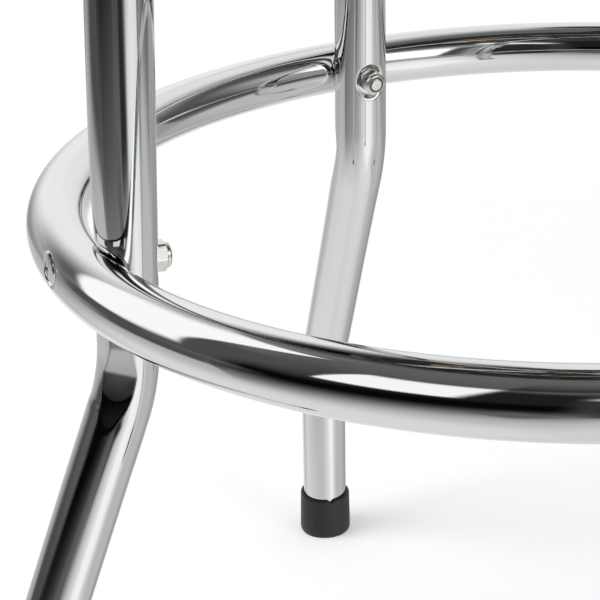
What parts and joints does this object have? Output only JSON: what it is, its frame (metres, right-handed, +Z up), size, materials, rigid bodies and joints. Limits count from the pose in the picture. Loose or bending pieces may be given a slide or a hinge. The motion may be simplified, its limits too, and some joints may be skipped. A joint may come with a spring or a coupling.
{
  "type": "swivel stool",
  "caption": "Round padded swivel stool on four bent chrome tube legs with rubber tips, tied by a bolted tube foot ring.",
  "frame": {"origin": "on the floor, under the middle of the seat and of the foot ring", "axes": "+Z up along the swivel axis; +X along leg 1, +Y along leg 2, -X along leg 3 and -Y along leg 4"},
  "size_m": [0.5674, 0.5674, 0.762],
  "materials": {
    "chrome_tube": "polished",
    "black_rubber": "satin",
    "zinc_steel": "satin",
    "nylon": "matte",
    "cage_nylon": "matte",
    "bearing_steel": "polished",
    "plate_paint": "satin",
    "plywood": "matte",
    "foam": "matte",
    "black_vinyl": "satin",
    "dust_cloth": "matte"
  },
  "bodies": {
    "root": {"foot_ring": "chrome_tube", "leg_1": "chrome_tube", "leg_2": "chrome_tube", "leg_3": "chrome_tube", "leg_4": "chrome_tube", "leg_tip_1": "black_rubber", "leg_tip_2": "black_rubber", "leg_tip_3": "black_rubber", "leg_tip_4": "black_rubber", "tip_discs": "zinc_steel", "ring_bolts": "zinc_steel", "ring_nuts": "zinc_steel", "ring_nut_inserts": "nylon", "leg_bolts": "zinc_steel", "leg_bolt_washers": "zinc_steel", "leg_weld_nuts": "zinc_steel", "lower_swivel_plate": "plate_paint"},
    "cage": {"swivel_balls": "bearing_steel", "ball_cage": "cage_nylon"},
    "seat": {"upper_swivel_plate": "plate_paint", "pivot_bolt": "zinc_steel", "pivot_washer": "zinc_steel", "pivot_nut": "zinc_steel", "seat_board": "plywood", "seat_tee_nuts": "zinc_steel", "seat_screws": "zinc_steel", "seat_foam": "foam", "seat_top_panel": "black_vinyl", "seat_side_band": "black_vinyl", "seat_welt": "black_vinyl", "dust_cover": "dust_cloth", "seat_staples": "zinc_steel"}
  },
  "joints": [
    {"name": "seat_swivel", "type": "hinge", "parent": "root", "child": "seat", "pos_m": [0, 0, 0.66], "axis": [0, 0, 1], "continuous": true},
    {"name": "cage_roll", "type": "hinge", "parent": "root", "child": "cage", "pos_m": [0, 0, 0.66], "axis": [0, 0, 1], "continuous": true}
  ],
  "couplings": [
    {"joint": "cage_roll", "follows": "seat_swivel", "ratio": 0.5}
  ]
}
